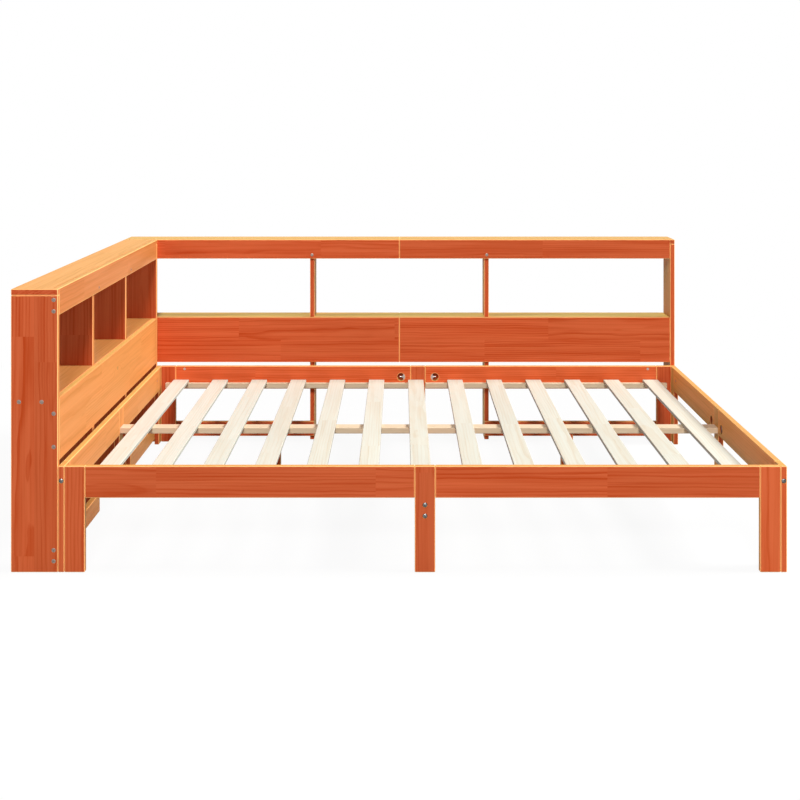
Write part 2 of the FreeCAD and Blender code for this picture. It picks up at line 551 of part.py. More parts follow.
def tie_rod(leg, axis, middle, level, rails, inner, inner_way):
    """A rod along one axis through a middle leg, its two nuts and washers, and the pockets they sit in."""
    spot = (MIDDLE_X, middle, level) if axis == "x" else (middle, MIDDLE_Y, level)
    start = shifted(spot, axis, f"-{ROD_REACH}")
    fasten("tie_rods", rod, rod_bore, start, "+" + axis, [leg] + rails)
    for sign, rail in zip(("-", "+"), rails):
        seat = shifted(spot, axis, f"{sign}(middle_leg/2 + {NUT_SEAT})")
        groups["tie_rods"].append(copy(hex_nut, f"hex_nut_{rail}", seat, sign + axis))
        mouth = shifted(spot, axis, f"{sign}(middle_leg/2 + pocket_setback)")
        mouth["xy".index("y" if axis == "x" else "x")] = inner
        cuts[rail].append(copy(pocket, f"pocket_{rail}", mouth, inner_way))
        moon_spot = shifted(mouth, inner_way[1].lower(), f"{inner_way[0]}(board - moon_long)/2")
        half_moon(f"half_moon_{rail}", moon_spot, ("+" if sign == "-" else "-") + axis, inner_way)


for side, middle, inner, inner_way in (
    ("front", f"{FRONT} + board/2", f"{FRONT} + board", "-Y"),
    ("rear", f"{REAR} - board/2", f"{REAR} - board", "+Y"),
):
    rails = [f"{side}_rail_left", f"{side}_rail_right"]
    tie_rod(f"middle_leg_{side}", "x", middle, "frame_height - side_rod_drop", rails, inner, inner_way)
for end, middle, inner, inner_way in (
    ("head", f"{HEAD} + board/2", HEAD, "+X"),
    ("foot", f"{FOOT} - board/2", f"{FOOT} - board", "+X"),
):
    rails = [f"{end}_rail_front", f"{end}_rail_rear"]
    tie_rod(f"middle_leg_{end}", "y", middle, "frame_height - end_rod_drop", rails, inner, inner_way)

# Wooden dowels; each starts in the face of one board and runs into the edge of the next
dowel = turned("dowel_pattern", straight("dowel_radius", "dowel_shallow + dowel_deep"))
dowel_bore = turned("dowel_bore_pattern", straight("dowel_radius + fit_play", "dowel_shallow + dowel_deep"))
UNDER_SHELF = f"({BACKREST_FOOT} + {SHELF_FOOT})/2"
TOP_MIDDLE = f"{TOP_FOOT} + board/2"


def peg(spot, way, boards):
    """A dowel across the joint at a spot, its shorter end behind the joint."""
    sign = "-" if way[0] == "+" else "+"
    start = shifted(spot, way[1].lower(), f"{sign}dowel_shallow")
    fasten("dowels", dowel, dowel_bore, start, way, boards)


for reach, middle_y in (("front", f"{FRONT} + board/2"), ("rear", f"{REAR} - board/2")):
    for inset in ("dowel_inset", "case_depth - dowel_inset"):
        peg((f"{LEFT} + {inset}", middle_y, TOP_FOOT), "-Z", ["head_top", f"head_panel_{reach}"])
for hand, middle_x in (("left", f"{LEFT} + board/2"), ("right", f"{RIGHT} - board/2")):
    for inset in ("dowel_inset", "case_depth - dowel_inset"):
        peg((middle_x, f"{REAR} + {inset}", TOP_FOOT), "-Z", [f"rear_top_{hand}", f"rear_panel_{hand}"])
for hand, middle_x in (("left", "-rear_bay"), ("right", "rear_bay")):
    top_spot = (middle_x, f"{BACK} - {SHELF_DEEP}/2", TOP_FOOT)
    peg(top_spot, "-Z", [f"rear_top_{hand}", f"rear_divider_{hand}"])
    for board_name, level in (("backrest", UNDER_SHELF), ("stretcher", STRETCHER_MIDDLE)):
        spot = (middle_x, f"{REAR} + board", level)
        peg(spot, "+Y", [f"rear_{board_name}_{hand}", f"rear_divider_{hand}"])
    outer = f"{middle_x}*2"
    peg((outer, f"{REAR} + board", SHELF_MIDDLE), "+Y", [f"rear_backrest_{hand}", f"rear_shelf_{hand}"])
    inner = f"{middle_x}/2"
    peg((inner, f"{REAR} + board", SHELF_MIDDLE), "+Y", [f"rear_backrest_{hand}", f"rear_shelf_{hand}"])
    peg((outer, f"{REAR} + board", TOP_MIDDLE), "+Y", [f"rear_apron_{hand}", f"rear_top_{hand}"])
    peg((inner, f"{REAR} + board", TOP_MIDDLE), "+Y", [f"rear_apron_{hand}", f"rear_top_{hand}"])
for reach, low_y in (("front", HEAD_DIVIDER_NEAR), ("rear", HEAD_DIVIDER_FAR)):
    middle_y = f"{low_y} + board/2"
    top_spot = (f"{LEFT} + {SHELF_DEEP}/2", middle_y, TOP_FOOT)
    peg(top_spot, "-Z", ["head_top", f"head_divider_{reach}"])
    for board_name, level in (
        ("head_backrest", UNDER_SHELF),
        (f"head_stretcher_{reach}", STRETCHER_MIDDLE),
    ):
        peg((f"{HEAD} - board", middle_y, level), "-X", [board_name, f"head_divider_{reach}"])
for bay in range(3):
    bay_middle = f"{FRONT} + board + {HEAD_BAY}/2 + {bay}*(board + {HEAD_BAY})"
    peg((f"{HEAD} - board", bay_middle, SHELF_MIDDLE), "-X", ["head_backrest", "head_shelf"])
    peg((f"{HEAD} - board", bay_middle, TOP_MIDDLE), "-X", ["head_apron", "head_top"])
for board_name, deep, level in (
    ("top", f"{REAR} + dowel_inset", TOP_MIDDLE),
    ("top", f"{BACK} - dowel_inset", TOP_MIDDLE),
    ("shelf", f"{REAR} + board + dowel_inset", SHELF_MIDDLE),
    ("shelf", f"{BACK} - dowel_inset", SHELF_MIDDLE),
    ("apron", f"{REAR} + board/2", APRON_MIDDLE),
    ("backrest", f"{REAR} + board/2", f"{BACKREST_MIDDLE} + backrest_screw_step"),
    ("backrest", f"{REAR} + board/2", f"{BACKREST_MIDDLE} - backrest_screw_step"),
):
    peg(("0", deep, level), "+X", [f"rear_{board_name}_left", f"rear_{board_name}_right"])
BEAM_LEVEL = f"{LEDGER_TOP} - ledger_high/2"
peg((f"{HEAD} + board", MIDDLE_Y, BEAM_LEVEL), "+X", ["middle_leg_head", "middle_beam_left"])
peg((f"{FOOT} - board", MIDDLE_Y, BEAM_LEVEL), "-X", ["middle_leg_foot", "middle_beam_right"])
for hand, sign in (("left", "-"), ("right", "+")):
    spot = (f"{MIDDLE_X} {sign} beam_leg_reach", MIDDLE_Y, LEDGER_FOOT)
    peg(spot, "-Z", [f"middle_beam_{hand}", f"beam_leg_{hand}"])

# Drill the boards, gather the groups, and give each finished piece its name
finished = {}
for name, tools in cuts.items():
    blank = doc.getObject(name)
    if tools:
        cutters = doc.addObject("Part::Compound", name + "_cutters")
        cutters.Links = tools
        drilled = doc.addObject("Part::Cut", name + "_drilled")
        drilled.Base = blank
        drilled.Tool = cutters
        blank.Label = name + "_blank"
        finished[name] = drilled
    else:
        finished[name] = blank
for name, members in joined.items():
    pair = doc.addObject("Part::Compound", name + "_set")
    pair.Links = [finished.pop(member) for member in members]
    finished[name] = pair
for name, members in groups.items():
    gathered = doc.addObject("Part::Compound", name + "_set")
    gathered.Links = members
    finished[name] = gathered
for name, piece in finished.items():
    piece.Label = name
doc.recompute()

for thing in doc.Objects:
    if "Invalid" in thing.State or "Error" in thing.State:
        raise RuntimeError(f"{thing.Label} failed: {thing.State}")
for name, piece in finished.items():
    if piece.Label != name or piece.Shape.isNull() or not piece.Shape.isValid() or not piece.Shape.Solids:
        raise RuntimeError(f"{name} has no sound solid")

os.makedirs("parts", exist_ok=True)
for name, piece in finished.items():
    piece.Shape.exportStep(f"parts/{name}.step")
solid_count = sum(len(piece.Shape.Solids) for piece in finished.values())
print(f"{len(finished)} nodes, {solid_count} solids")
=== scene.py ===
# %% [markdown]
# A wooden bed with two open bookcases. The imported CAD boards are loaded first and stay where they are.
# Everything in this lesson dresses those boards: wood that follows each board's own length, steel with
# real sockets, a camera and soft light. Sizes are in metres, and +Z is up.

# %% Load the bed
import json
import math
import random

import bmesh
import bpy
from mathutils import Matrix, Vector


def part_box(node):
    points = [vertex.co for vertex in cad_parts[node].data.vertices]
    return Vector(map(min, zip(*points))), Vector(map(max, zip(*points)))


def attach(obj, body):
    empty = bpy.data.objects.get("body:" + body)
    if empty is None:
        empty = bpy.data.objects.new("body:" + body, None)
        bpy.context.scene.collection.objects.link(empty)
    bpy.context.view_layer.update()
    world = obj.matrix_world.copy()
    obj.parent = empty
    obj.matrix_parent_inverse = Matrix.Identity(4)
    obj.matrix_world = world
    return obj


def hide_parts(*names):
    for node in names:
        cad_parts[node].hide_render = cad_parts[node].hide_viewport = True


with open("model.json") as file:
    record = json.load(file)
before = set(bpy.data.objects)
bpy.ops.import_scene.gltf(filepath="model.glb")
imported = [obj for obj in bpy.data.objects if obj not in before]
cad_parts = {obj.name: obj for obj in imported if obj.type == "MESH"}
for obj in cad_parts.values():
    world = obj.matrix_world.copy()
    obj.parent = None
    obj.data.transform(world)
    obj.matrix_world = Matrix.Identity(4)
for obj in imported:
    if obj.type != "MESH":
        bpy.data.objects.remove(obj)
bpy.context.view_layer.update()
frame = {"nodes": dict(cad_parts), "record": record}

nodes = frame["nodes"]
scene = bpy.context.scene

# %% [markdown]
# The picture was taken from some way off and above the bed, with the camera held level, so upright lines
# stay upright. Tilting a Blender camera down would make them lean. A level camera with a vertical shift
# doesn't: it slides the frame down and leaves the view straight.

# %% Camera
PHOTO_SIDE = 800
EYE = Vector((0.0043, -4.343, 1.28))
FOCAL_PIXELS = 1257.3
VANISHING_X = 400.5
VANISHING_Y = 119.0
SENSOR_WIDTH = 36.0
LEVEL = math.radians(90)

camera_data = bpy.data.cameras.new("photo_camera")
camera_data.sensor_width = SENSOR_WIDTH
camera_data.lens = FOCAL_PIXELS / PHOTO_SIDE * SENSOR_WIDTH
camera_data.shift_x = (PHOTO_SIDE / 2 - VANISHING_X) / PHOTO_SIDE
camera_data.shift_y = (VANISHING_Y - PHOTO_SIDE / 2) / PHOTO_SIDE
camera = bpy.data.objects.new("photo_camera", camera_data)
camera.location = EYE
camera.rotation_euler = (LEVEL, 0, 0)
scene.collection.objects.link(camera)
scene.camera = camera
print("lens", round(camera_data.lens, 2), "mm, shift", round(camera_data.shift_y, 4))

# %% [markdown]
# Materials are easier to read as formulas than as a web of nodes. This small class wraps a node's socket:
# adding or multiplying two of them adds Math nodes. Nodes could be placed by hand in the editor too, but
# wood needs dozens of them for each board.

# %% Values that change over a surface
class Field:
    """A value that changes over a surface. Arithmetic on it adds Math nodes to its material."""

    def __init__(self, recipe, socket):
        self.recipe = recipe
        self.socket = socket

    def math(self, operation, *values):
        sockets = dict(enumerate(values))
        return self.recipe.node("ShaderNodeMath", {"operation": operation}, sockets)

    def __add__(self, other):
        return self.math("ADD", self, other)

    def __sub__(self, other):
        return self.math("SUBTRACT", self, other)

    def __rsub__(self, other):
        return self.math("SUBTRACT", other, self)

    def __mul__(self, other):
        return self.math("MULTIPLY", self, other)

    def __truediv__(self, other):
        return self.math("DIVIDE", self, other)

    __radd__ = __add__
    __rmul__ = __mul__

    def floor(self):
        return self.math("FLOOR", self)

    def fraction(self):
        return self.math("FRACT", self)

    def root(self):
        return self.math("SQRT", self)

    def size(self):
        return self.math("ABSOLUTE", self)

    def larger(self, other):
        return self.math("MAXIMUM", self, other)

    def fade(self, start, end):
        """0 before start, 1 after end, with a soft step between them."""
        settings = {"interpolation_type": "SMOOTHSTEP", "clamp": True}
        sockets = {"Value": self, 1: start, 2: end, 3: 0.0, 4: 1.0}
        return self.recipe.node("ShaderNodeMapRange", settings, sockets)

    def output(self, name):
        """Another output of the node that made this field."""
        return Field(self.recipe, self.socket.node.outputs[name])


print("fields ready")

# %% [markdown]
# A recipe is a material that is being written. Every node comes from one method, which takes the node's
# type, its settings and the values or links of its sockets. Colours are mixed here, because a Math node
# would turn them grey.

# %% Recipes for materials
class Recipe:
    """A material that is being written."""

    def __init__(self, name):
        self.material = bpy.data.materials.new(name)
        self.material.use_nodes = True
        self.tree = self.material.node_tree
        self.shader = self.tree.nodes["Principled BSDF"]

    def feed(self, socket, value):
        if isinstance(value, Field):
            self.tree.links.new(value.socket, socket)
        else:
            socket.default_value = value

    def node(self, kind, settings, sockets, out=0):
        made = self.tree.nodes.new(kind)
        for key, value in settings.items():
            setattr(made, key, value)
        for key, value in sockets.items():
            self.feed(made.inputs[key], value)
        return Field(self, made.outputs[out])

    def split(self, vector):
        first = self.node("ShaderNodeSeparateXYZ", {}, {0: vector})
        return [first.output(axis) for axis in range(3)]

    def join(self, x, y, z):
        return self.node("ShaderNodeCombineXYZ", {}, {0: x, 1: y, 2: z})

    def scaled(self, vector, factor):
        return self.node("ShaderNodeVectorMath", {"operation": "SCALE"}, {0: vector, "Scale": factor})

    def noise(self, vector, detail=2.0):
        return self.node("ShaderNodeTexNoise", {}, {"Vector": vector, "Scale": 1.0, "Detail": detail})

    def dice(self, vector, out=0):
        """A draw of chance that is the same at every point with the same vector."""
        return self.node("ShaderNodeTexWhiteNoise", {"noise_dimensions": "3D"}, {"Vector": vector}, out)

    def bump(self, height, strength, distance):
        sockets = {"Strength": strength, "Distance": distance, "Height": height}
        return self.node("ShaderNodeBump", {}, sockets)

    def blend(self, amount, under, over, style="MIX"):
        settings = {"data_type": "RGBA", "blend_type": style}
        return self.node("ShaderNodeMix", settings, {0: amount, 6: under, 7: over}, out=2)

    def surface(self, **sockets):
        for key, value in sockets.items():
            self.feed(self.shader.inputs[key.replace("_", " ")], value)
        return self.material


print("recipes ready")

# %% [markdown]
# The bed has two kinds of pine: boards with an orange stain, and raw wood for slats and bearers. Early
# wood is the pale part of a growth ring and late wood the dark line that ends it. In the picture the
# stained boards look silky and yellower at flat angles. Sheen does that here, because a clear coat would
# mirror the lamps.

# %% Finishes of the wood
OPAQUE = 1.0
GLOSS = 0.1
GLOW_SPREAD = 0.6


class Palette:
    """One finish: its colours in linear light, and how strongly each part of it shows."""

    def __init__(self, early, late, knot, edge, contrast, edge_share, tone_range, glow, glow_tint, side_shade):
        self.early = (*early, OPAQUE)
        self.late = (*late, OPAQUE)
        self.knot = (*knot, OPAQUE)
        self.edge = (*edge, OPAQUE)
        self.contrast = contrast
        self.edge_share = edge_share
        self.tone_range = tone_range
        self.glow = glow
        self.glow_tint = (*glow_tint, OPAQUE)
        self.side_shade = side_shade


# A finish's edge colour stands for stain sanded thin and for a painted highlight. Its side factor paints
# shade on the narrow sides of a board: the planed finish has some, the others none.
STAINED = Palette(
    early=(0.60, 0.095, 0.032), late=(0.46, 0.030, 0.0005), knot=(0.26, 0.02, 0.004),
    edge=(1.0, 0.42, 0.16), contrast=1.0, edge_share=1.0, tone_range=0.08, glow=0.6,
    glow_tint=(0.78, 0.86, 0.24), side_shade=1.0)
PLANED = {"knot": (0.36, 0.23, 0.12), "contrast": 0.85, "edge_share": 0.4, "tone_range": 0.05,
          "glow": 0.2, "glow_tint": (1.0, 1.0, 0.9), "side_shade": 0.62}
RAW = Palette(early=(0.61, 0.61, 0.525), late=(0.55, 0.47, 0.34), edge=(0.64, 0.61, 0.50), **PLANED)
PALE = Palette(early=(0.64, 0.66, 0.575), late=(0.57, 0.51, 0.38), edge=(0.64, 0.63, 0.53), **PLANED)
BEARER = Palette(
    early=(0.70, 0.55, 0.38), late=(0.58, 0.39, 0.23), knot=(0.36, 0.20, 0.10),
    edge=(0.70, 0.57, 0.40), contrast=0.5, edge_share=0.4, tone_range=0.06, glow=0.12,
    glow_tint=(1.0, 0.9, 0.7), side_shade=1.0)
print("finishes: stained, raw, pale and bearer pine")

# %% [markdown]
# Grain runs along a board, whichever way the board lies in the bed. So each board's material first works
# out its own directions: along its length, across its width and deep into its thickness. An image of wood
# would need unwrapping and would stop at the surface, while a formula in these directions also fits edges
# and ends.

# %% A board's own directions
class Streak:
    """Noise drawn out along a board: how often it changes each way, and how far it moves between blocks."""

    def __init__(self, along, across, block_along=0.0, block_deep=0.0, seed_deep=0.0, detail=2.0):
        self.along = along
        self.across = across
        self.block_along = block_along
        self.block_deep = block_deep
        self.seed_deep = seed_deep
        self.detail = detail


class Board:
    """A board between two corners, with directions of its own and a material that is being written."""

    def __init__(self, name, low, high, seed):
        self.recipe = Recipe(name)
        self.high = high
        self.seed = seed
        self.thin, self.wide, self.long = sorted(range(3), key=lambda axis: high[axis] - low[axis])
        self.place = self.recipe.split(self.recipe.node("ShaderNodeTexCoord", {}, {}, out="Object"))
        self.along = self.place[self.long] - low[self.long]
        self.across = self.place[self.wide] - low[self.wide]
        self.deep = self.place[self.thin] - low[self.thin]
        self.length = high[self.long] - low[self.long]
        self.width = high[self.wide] - low[self.wide]

    def streaks(self, kind, draws):
        """Noise of one kind, moved by the draws of the block that a point is in."""
        along = self.along * kind.along + draws[0] * kind.block_along
        deep = self.deep * kind.across + draws[1] * kind.block_deep + self.seed * kind.seed_deep
        return self.recipe.noise(self.recipe.join(along, self.across * kind.across, deep), kind.detail)


print("board directions ready")

# %% [markdown]
# Such boards are glued up from strips side by side, and each strip from blocks end to end, so knots can
# be cut out. Each block may come from another log. Dividing a place by the block's size and dropping the
# fraction gives a number for each block, and White Noise turns that number into draws of chance.

# %% Glued blocks
BLOCK_LENGTH = 0.62
STRIP_WIDTH = 0.078
STAGGER = 3.0
STRIP_SEED = 1.37
BLOCK_SEED = 0.731


def glued_blocks(board):
    """The middle line of the strip that a point is in, and three draws of chance for its block."""
    recipe = board.recipe
    strips = max(1, round(board.width / STRIP_WIDTH))
    strip_width = board.width / strips
    strip = (board.across / strip_width).floor()
    stagger = recipe.node("ShaderNodeTexWhiteNoise", {"noise_dimensions": "1D"},
                          {"W": strip + board.seed * STRIP_SEED})
    block = (board.along / BLOCK_LENGTH + stagger * STAGGER).floor()
    draws = recipe.split(recipe.dice(recipe.join(strip, block, board.seed * BLOCK_SEED), out="Color"))
    return (strip + 0.5) * strip_width, draws


print("blocks of", BLOCK_LENGTH, "by", STRIP_WIDTH, "m")

# %% [markdown]
# A knot is where a branch grew. It is dark at its middle, and the rings flow round it in a long oval.
# Both come from the distance to the knot's middle, measured with the board's length squeezed.

# %% Knots
KNOT_ALONG = (0.1, 0.9)
KNOT_ACROSS = (0.25, 0.75)
KNOT_RADIUS = (0.004, 0.008)
KNOT_SQUEEZE = 0.5
CORE_START = 0.55
FLOW_SQUEEZE = 0.09
FLOW_REACH = 3.5
FLOW_PUSH = 1.3


def knots_on(board, count):
    """How far knots push the rings aside, and how much of a point is knot."""
    chance = random.Random(board.seed)
    push = 0.0
    core = 0.0
    for index in range(count):
        gap_along = board.along - chance.uniform(*KNOT_ALONG) * board.length
        gap_across = board.across - chance.uniform(*KNOT_ACROSS) * board.width
        radius = chance.uniform(*KNOT_RADIUS)
        flow = (gap_along * gap_along * FLOW_SQUEEZE + gap_across * gap_across).root()
        push = push + (1.0 - flow.fade(radius, radius * FLOW_REACH)) * (radius * FLOW_PUSH)
        middle = (gap_along * gap_along * KNOT_SQUEEZE + gap_across * gap_across).root()
        core = core + (1.0 - middle.fade(radius * CORE_START, radius))
    return push, core


print("knots of", KNOT_RADIUS[0] * 2000, "to", KNOT_RADIUS[1] * 2000, "mm")

# %% [markdown]
# On a real log the dark lines are growth rings round the pith, and a board is a slice beside it. The
# formula does the same: the distance from a pith line that leans a little, divided by the ring width,
# counts the years. So flat faces show arches, edges show straight lines and ends show arcs. A Wave
# texture would be quicker, but its rings would all be alike, while here each year draws how dark its line
# is. Bands and veins add the finer streaks that lie between the rings.

# %% Growth rings
RING_WIDTH = 0.0075
PITH_ASIDE = 0.30
PITH_LEAN = 0.024
PITH_NEAREST = 0.03
PITH_RANGE = 0.10
WAVER_SIZE = 0.010
DRIFT_YEARS = 1.3
BLOCK_YEARS = 9.0
SUMMER_SPREAD = 50.0
LATE_START = 0.72
LATE_RANGE = 0.40
LATE_FULL = 0.88
YEAR_END = (0.92, 1.0)
FAINTEST_LINE = 0.30
LINE_SHARE = 0.6
BAND_SHARE = 0.4
BAND_FADE = (0.38, 0.66)
VEIN_SHARE = 0.35
VEIN_FADE = (0.45, 0.75)
WAVER = Streak(along=2.2, across=9.0, block_along=40.0)
DRIFT = Streak(along=5.0, across=26.0, block_deep=30.0)
BAND = Streak(along=1.6, across=48.0, block_along=40.0, block_deep=20.0)
VEIN = Streak(along=3.0, across=190.0, block_along=30.0, detail=3.0)


def late_wood(board, strip_middle, draws, push):
    """How much dark late wood lies at a point."""
    recipe = board.recipe
    aside = board.across - strip_middle + (draws[0] - 0.5) * PITH_ASIDE
    lean = (draws[2] - 0.5) * PITH_LEAN
    waver = (board.streaks(WAVER, draws) - 0.5) * WAVER_SIZE
    below = board.deep + PITH_NEAREST + draws[1] * PITH_RANGE + lean * board.along + waver
    radius = (aside * aside + below * below).root() + push
    years = radius / RING_WIDTH + board.streaks(DRIFT, draws) * DRIFT_YEARS + draws[0] * BLOCK_YEARS
    ring = years.fraction()
    summer = recipe.dice(recipe.join(years.floor(), draws[0] * SUMMER_SPREAD, draws[1] * SUMMER_SPREAD))
    line = ring.fade(LATE_START - summer * LATE_RANGE, LATE_FULL) * (1.0 - ring.fade(*YEAR_END))
    line = line * (FAINTEST_LINE + summer * (1.0 - FAINTEST_LINE))
    band = board.streaks(BAND, draws).fade(*BAND_FADE)
    vein = board.streaks(VEIN, draws).fade(*VEIN_FADE)
    return line * LINE_SHARE + band * BAND_SHARE + vein * VEIN_SHARE


print("rings of", RING_WIDTH * 1000, "mm")

# %% [markdown]
# Sanding thins the stain on rounded edges, and their paler colour also paints the highlight that rounded
# edges catch. A face is flat where its normal points along one axis, and rounded where it doesn't, so the
# normal alone finds the edges. Shelf and backrest are sanded flush together, so little of that pale line
# shows between them. The narrow sides of planed boards are darker: that is painted shade.

# %% Sanded edges, painted highlights and painted side shade
FLAT_FADE = (0.90, 0.998)
UPWARD_FADE = (0.02, 0.2)
FLUSH_SHARE = 0.65
SIDE_SHADE_FADE = (0.6, 0.8)


def highlit_edges_and_shaded_sides(board, palette, flush_top):
    """Pale edge colour at a point (sanded stain and painted highlight), and painted shade on sides."""
    facing = board.recipe.split(board.recipe.node("ShaderNodeNewGeometry", {}, {}, out="Normal"))
    flatness = facing[0].size().larger(facing[1].size()).larger(facing[2].size())
    sanded_highlight = (1.0 - flatness.fade(*FLAT_FADE)) * palette.edge_share
    if flush_top:
        sanded_highlight = sanded_highlight * (1.0 - facing[2].fade(*UPWARD_FADE) * FLUSH_SHARE)
    side_shade = 1.0 - facing[board.wide].size().fade(*SIDE_SHADE_FADE) * (1.0 - palette.side_shade)
    return sanded_highlight, side_shade


print("sanded edges ready")

# %% [markdown]
# Each rail half has a round pocket for the nut of a tie rod. Its inside is painted dark, for the shade
# that falls into it and for its bare end grain that soaks up stain, and its rim gets a painted highlight.
# The pocket itself is cut in CAD. Only its colour is painted here, by the distance from its middle, and
# the board's far face keeps its own colour.

# %% Painted shade and highlights in the pockets
POCKET_RADIUS = 0.015
POCKET_BLUR = 0.0004
POCKET_RIM = 0.0018
POCKET_SKIN = (0.0012, 0.0017)
POCKET_SHADE = 0.8
RIM_HIGHLIGHT = 0.5
POCKET_SETBACK = 0.0375
ROD_DROP = {"front": 0.043, "rear": 0.043, "head": 0.060, "foot": 0.060}


def rail_pocket(rail):
    """Middle of the tie rod's pocket in one rail half, and whether it opens on the board's lower side."""
    side = rail.split("_")[0]
    low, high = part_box(rail)
    leg_low, leg_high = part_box("middle_leg_" + side)
    long = max(range(3), key=lambda axis: high[axis] - low[axis])
    before_leg = low[long] < leg_low[long]
    centre = list(high)
    centre[long] = leg_low[long] - POCKET_SETBACK if before_leg else leg_high[long] + POCKET_SETBACK
    centre[2] = high[2] - ROD_DROP[side]
    return centre, side != "front"


def pocket_shade_and_rim_highlight(board, palette, colour, pockets):
    """The board's colour with painted shade in the pockets and a painted highlight on their rims."""
    recipe = board.recipe
    for centre, opens_low in pockets:
        gap_along = board.place[board.long] - centre[board.long]
        gap_across = board.place[board.wide] - centre[board.wide]
        reach = (gap_along * gap_along + gap_across * gap_across).root()
        skin = board.high[board.thin] - board.place[board.thin] if opens_low else board.deep
        open_side = skin.fade(*POCKET_SKIN)
        outside = reach.fade(POCKET_RADIUS, POCKET_RADIUS + POCKET_BLUR)
        rim = outside * (1.0 - reach.fade(POCKET_RADIUS + POCKET_RIM, POCKET_RADIUS + POCKET_RIM * 2))
        colour = recipe.blend(rim * open_side * RIM_HIGHLIGHT, colour, palette.edge)
        colour = recipe.blend((1.0 - outside) * open_side * POCKET_SHADE, colour, palette.knot)
    return colour


print("pockets of", POCKET_RADIUS * 2000, "mm")

# %% [markdown]
# Now the pine itself: early wood, late wood over it, and a tone that drifts with fibres and clouds. Some
# boards' tone also carries painted light, others painted shade. Fibres are far finer than rings and run
# straight along the board. They also roughen the surface a little and raise it.

# %% Pine
FIBRE = Streak(along=7.0, across=420.0, detail=3.0)
CLOUD = Streak(along=3.0, across=14.0, seed_deep=0.4, detail=3.0)
FIBRE_TONE = 0.10
CLOUD_TONE = 0.14
KNOT_DARKNESS = 0.85
RELIEF_STRENGTH = 0.25
RELIEF_HEIGHT = 0.0004
FIBRE_RELIEF = 0.6
RING_RELIEF = 0.4
SANDED_ROUGHNESS = 0.40
RING_ROUGHNESS = 0.06
FIBRE_ROUGHNESS = 0.10


def pine(board, palette, knot_count, painted_light_lift, painted_sheen_lift, pockets, flush_top):
    """Pine for one board, its rings along the board's length."""
    recipe = board.recipe
    strip_middle, draws = glued_blocks(board)
    push, core = knots_on(board, knot_count)
    late = late_wood(board, strip_middle, draws, push)
    fibre = board.streaks(FIBRE, draws)
    cloud = board.streaks(CLOUD, draws)
    sanded_highlight, side_shade = highlit_edges_and_shaded_sides(board, palette, flush_top)
    tone = 1.0 - palette.tone_range / 2 + draws[2] * palette.tone_range
    tone = tone * (1.0 - CLOUD_TONE / 2 + cloud * CLOUD_TONE)
    # The lift paints light on some boards and shade on others, and the side factor paints shade on the
    # narrow sides.
    tone = tone * (1.0 - FIBRE_TONE / 2 + fibre * FIBRE_TONE) * painted_light_lift * side_shade
    shade = recipe.node("ShaderNodeCombineColor", {}, {0: tone, 1: tone, 2: tone})

    colour = recipe.blend(late * palette.contrast, palette.early, palette.late)
    colour = recipe.blend(1.0, colour, shade, "MULTIPLY")
    if knot_count:
        colour = recipe.blend(core * KNOT_DARKNESS, colour, palette.knot)
    # Pale edges: stain sanded thin, and a painted highlight.
    colour = recipe.blend(sanded_highlight, colour, palette.edge)
    # Painted shade in the tie rod's pocket, and a painted highlight on its rim.
    colour = pocket_shade_and_rim_highlight(board, palette, colour, pockets)
    roughness = SANDED_ROUGHNESS + late * RING_ROUGHNESS + fibre * FIBRE_ROUGHNESS
    relief = recipe.bump(fibre * FIBRE_RELIEF + late * RING_RELIEF, RELIEF_STRENGTH, RELIEF_HEIGHT)
    recipe.surface(Specular_IOR_Level=GLOSS, Sheen_Weight=palette.glow * painted_sheen_lift,
                   Sheen_Roughness=GLOW_SPREAD, Sheen_Tint=palette.glow_tint)
    return recipe.surface(Base_Color=colour, Roughness=roughness, Normal=relief)


print("pine ready")

# %% [markdown]
# Screws, bolts and nuts are zinc-plated steel: a little cloudy, with fine grit in the plating. One plain
# grey would look like plastic, so patches of a duller grey lie over a brighter one and change the gloss
# as well.

# %% Steel
PATCHES_PER_METRE = 350.0
PATCH_FADE = (0.3, 0.7)
PATCH_ROUGHNESS = 0.2
PLATED_ROUGHNESS = 0.28
GRIT_PER_METRE = 2600.0
GRIT_STRENGTH = 0.15
GRIT_HEIGHT = 0.0001


def steel(name, bright, dull):
    """Plated steel with cloudy patches between two greys."""
    recipe = Recipe(name)
    place = recipe.node("ShaderNodeTexCoord", {}, {}, out="Object")
    patch = recipe.noise(recipe.scaled(place, PATCHES_PER_METRE))
    grit = recipe.noise(recipe.scaled(place, GRIT_PER_METRE))
    colour = recipe.blend(patch.fade(*PATCH_FADE), (*bright, OPAQUE), (*dull, OPAQUE))
    relief = recipe.bump(grit, GRIT_STRENGTH, GRIT_HEIGHT)
    roughness = PLATED_ROUGHNESS + patch * PATCH_ROUGHNESS
    return recipe.surface(Base_Color=colour, Metallic=1.0, Roughness=roughness, Normal=relief)


bolt_steel = steel("bolt_plating", bright=(0.23, 0.225, 0.22), dull=(0.11, 0.11, 0.11))
nut_steel = steel("nut_plating", bright=(0.66, 0.56, 0.52), dull=(0.44, 0.38, 0.35))
screw_steel = steel("screw_plating", bright=(0.36, 0.28, 0.24), dull=(0.23, 0.18, 0.155))
print("three steels ready")

# %% [markdown]
# Each CAD board keeps its shape and gets a pine of its own, so that no two boards repeat. Slats are
# planed pale, the bearers under them are yellower raw pine, and all the rest is stained. Light from the
# red boards tints the slats at the head, so those get a cooler wood that offsets the tint. These lamps
# also leave some boards darker or brighter than in the picture. The table below makes up for that with
# painted light and shade: a board's brightness and sheen by the start of its name, and the first start
# that fits counts.

